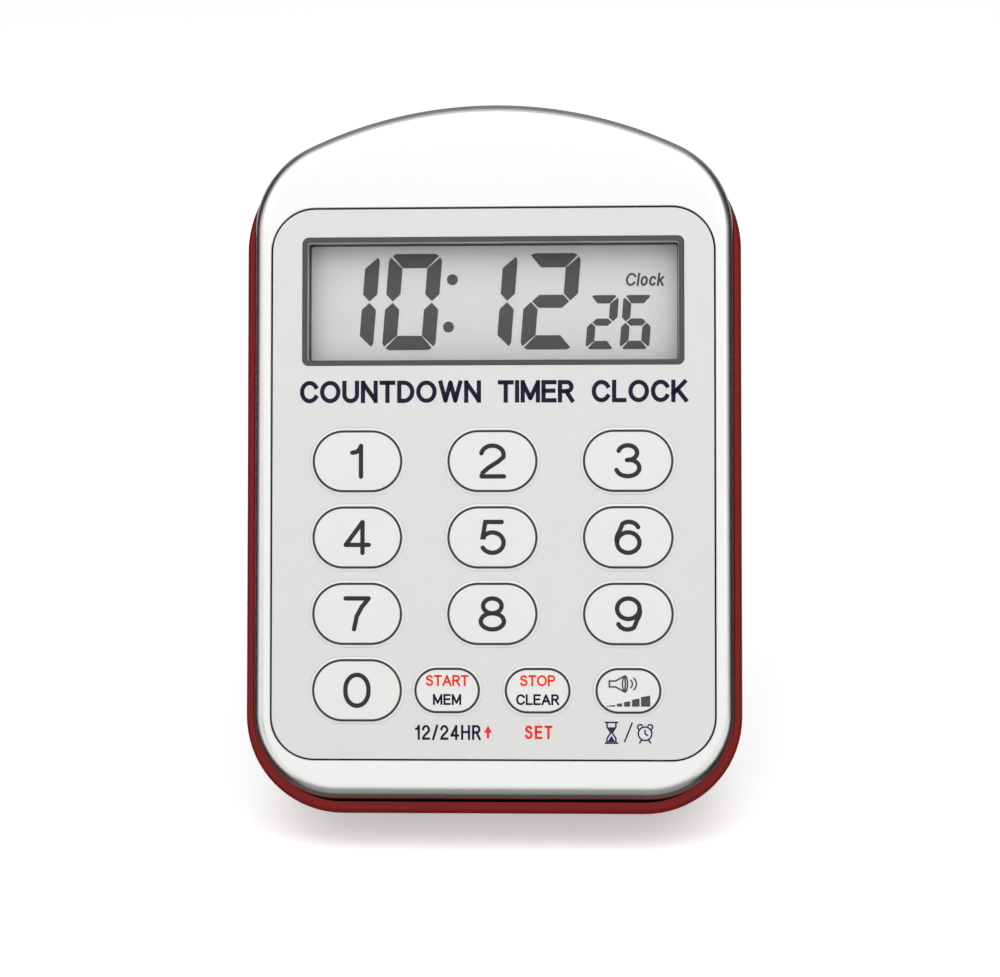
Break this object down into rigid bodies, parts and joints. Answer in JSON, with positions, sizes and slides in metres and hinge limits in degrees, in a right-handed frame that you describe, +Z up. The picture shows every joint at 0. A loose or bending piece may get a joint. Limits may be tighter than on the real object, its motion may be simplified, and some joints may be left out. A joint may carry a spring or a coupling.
{
  "type": "keypad countdown timer",
  "caption": "Hand-size digital countdown timer and clock: arched satin silver bezel, numeric keypad with raised oval keys, grey display, deep red case, fold-out rear stand and battery door.",
  "frame": {"origin": "centre of the bounding box's footprint, on the floor the timer stands on", "axes": "+Z up, -Y the way the face looks, +X to the right of a person facing the keypad"},
  "size_m": [0.0712, 0.0572, 0.1],
  "materials": {
    "satin_silver": "satin silver finish",
    "panel_white": "matte printed film",
    "key_white": "matte printed film",
    "case_red": "satin to gloss moulded ABS",
    "frame_grey": "dark grey moulded",
    "clear_window": "clear acrylic",
    "lcd_grey": "grey reflective display cell",
    "reflector_film": "matte reflector film",
    "black_abs": "matte",
    "zebra_rubber": "layered elastomer",
    "dome_steel": "pressed steel domes on a thin film",
    "board_green": "solder resist",
    "steel_screw": "zinc plated",
    "epoxy_black": "epoxy",
    "bright_metal": "nickel plated",
    "buzzer_brass": "rolled",
    "buzzer_white": "fired, silvered",
    "wire_red": "insulation",
    "wire_black": "insulation",
    "battery_wrap": "plain printed sleeve over a steel can",
    "stand_rubber": "moulded"
  },
  "bodies": {
    "case": {"battery_cell": "battery_wrap", "board_screw_1": "steel_screw", "board_screw_2": "steel_screw", "board_screw_3": "steel_screw", "board_screw_4": "steel_screw", "buzzer_ceramic": "buzzer_white", "buzzer_plate": "buzzer_brass", "buzzer_wire_1": "wire_red", "buzzer_wire_2": "wire_black", "capacitor_can": "bright_metal", "case_screw_1": "steel_screw", "case_screw_2": "steel_screw", "case_screw_3": "steel_screw", "chip_blob": "epoxy_black", "circuit_board": "board_green", "contact_plate": "bright_metal", "contact_spring": "bright_metal", "crystal_can": "bright_metal", "front_bezel": "satin_silver", "keypad_panel": "panel_white", "lcd_frame": "frame_grey", "lcd_glass": "lcd_grey", "lcd_holder": "black_abs", "lcd_reflector": "reflector_film", "lcd_window": "clear_window", "magnet_left": "bright_metal", "magnet_right": "bright_metal", "rear_case": "case_red", "resistor_1": "epoxy_black", "resistor_2": "epoxy_black", "resistor_3": "epoxy_black", "snap_domes": "dome_steel", "stand_pin": "steel_screw", "zebra_lower": "zebra_rubber", "zebra_upper": "zebra_rubber"},
    "stand": {"stand_leg": "case_red", "stand_pad": "stand_rubber"},
    "door": {"battery_door": "case_red"},
    "key_0_cap": {"key_0": "key_white"},
    "key_1_cap": {"key_1": "key_white"},
    "key_2_cap": {"key_2": "key_white"},
    "key_3_cap": {"key_3": "key_white"},
    "key_4_cap": {"key_4": "key_white"},
    "key_5_cap": {"key_5": "key_white"},
    "key_6_cap": {"key_6": "key_white"},
    "key_7_cap": {"key_7": "key_white"},
    "key_8_cap": {"key_8": "key_white"},
    "key_9_cap": {"key_9": "key_white"},
    "key_start_cap": {"key_start": "key_white"},
    "key_stop_cap": {"key_stop": "key_white"},
    "key_volume_cap": {"key_volume": "key_white"}
  },
  "joints": [
    {"name": "stand_fold", "type": "hinge", "parent": "case", "child": "stand", "pos_m": [0, 0.00738, 0.04578], "axis": [1, 0, 0], "range_deg": [-33, 0]},
    {"name": "door_swing", "type": "hinge", "parent": "case", "child": "door", "pos_m": [0, 0.01036, 0.05195], "axis": [-1, 0, 0], "range_deg": [0, 80]},
    {"name": "key_0_press", "type": "slide", "parent": "case", "child": "key_0_cap", "axis": [0, 0.9129, -0.4081], "range_m": [0, 0.00035], "stiffness_N_per_m": 1500, "springref_m": -0.0003, "deforming": ["snap_domes"]},
    {"name": "key_1_press", "type": "slide", "parent": "case", "child": "key_1_cap", "axis": [0, 0.9129, -0.4081], "range_m": [0, 0.00035], "stiffness_N_per_m": 1500, "springref_m": -0.0003, "deforming": ["snap_domes"]},
    {"name": "key_2_press", "type": "slide", "parent": "case", "child": "key_2_cap", "axis": [0, 0.9129, -0.4081], "range_m": [0, 0.00035], "stiffness_N_per_m": 1500, "springref_m": -0.0003, "deforming": ["snap_domes"]},
    {"name": "key_3_press", "type": "slide", "parent": "case", "child": "key_3_cap", "axis": [0, 0.9129, -0.4081], "range_m": [0, 0.00035], "stiffness_N_per_m": 1500, "springref_m": -0.0003, "deforming": ["snap_domes"]},
    {"name": "key_4_press", "type": "slide", "parent": "case", "child": "key_4_cap", "axis": [0, 0.9129, -0.4081], "range_m": [0, 0.00035], "stiffness_N_per_m": 1500, "springref_m": -0.0003, "deforming": ["snap_domes"]},
    {"name": "key_5_press", "type": "slide", "parent": "case", "child": "key_5_cap", "axis": [0, 0.9129, -0.4081], "range_m": [0, 0.00035], "stiffness_N_per_m": 1500, "springref_m": -0.0003, "deforming": ["snap_domes"]},
    {"name": "key_6_press", "type": "slide", "parent": "case", "child": "key_6_cap", "axis": [0, 0.9129, -0.4081], "range_m": [0, 0.00035], "stiffness_N_per_m": 1500, "springref_m": -0.0003, "deforming": ["snap_domes"]},
    {"name": "key_7_press", "type": "slide", "parent": "case", "child": "key_7_cap", "axis": [0, 0.9129, -0.4081], "range_m": [0, 0.00035], "stiffness_N_per_m": 1500, "springref_m": -0.0003, "deforming": ["snap_domes"]},
    {"name": "key_8_press", "type": "slide", "parent": "case", "child": "key_8_cap", "axis": [0, 0.9129, -0.4081], "range_m": [0, 0.00035], "stiffness_N_per_m": 1500, "springref_m": -0.0003, "deforming": ["snap_domes"]},
    {"name": "key_9_press", "type": "slide", "parent": "case", "child": "key_9_cap", "axis": [0, 0.9129, -0.4081], "range_m": [0, 0.00035], "stiffness_N_per_m": 1500, "springref_m": -0.0003, "deforming": ["snap_domes"]},
    {"name": "key_start_press", "type": "slide", "parent": "case", "child": "key_start_cap", "axis": [0, 0.9129, -0.4081], "range_m": [0, 0.00035], "stiffness_N_per_m": 1500, "springref_m": -0.0003, "deforming": ["snap_domes"]},
    {"name": "key_stop_press", "type": "slide", "parent": "case", "child": "key_stop_cap", "axis": [0, 0.9129, -0.4081], "range_m": [0, 0.00035], "stiffness_N_per_m": 1500, "springref_m": -0.0003, "deforming": ["snap_domes"]},
    {"name": "key_volume_press", "type": "slide", "parent": "case", "child": "key_volume_cap", "axis": [0, 0.9129, -0.4081], "range_m": [0, 0.00035], "stiffness_N_per_m": 1500, "springref_m": -0.0003, "deforming": ["snap_domes"]}
  ]
}
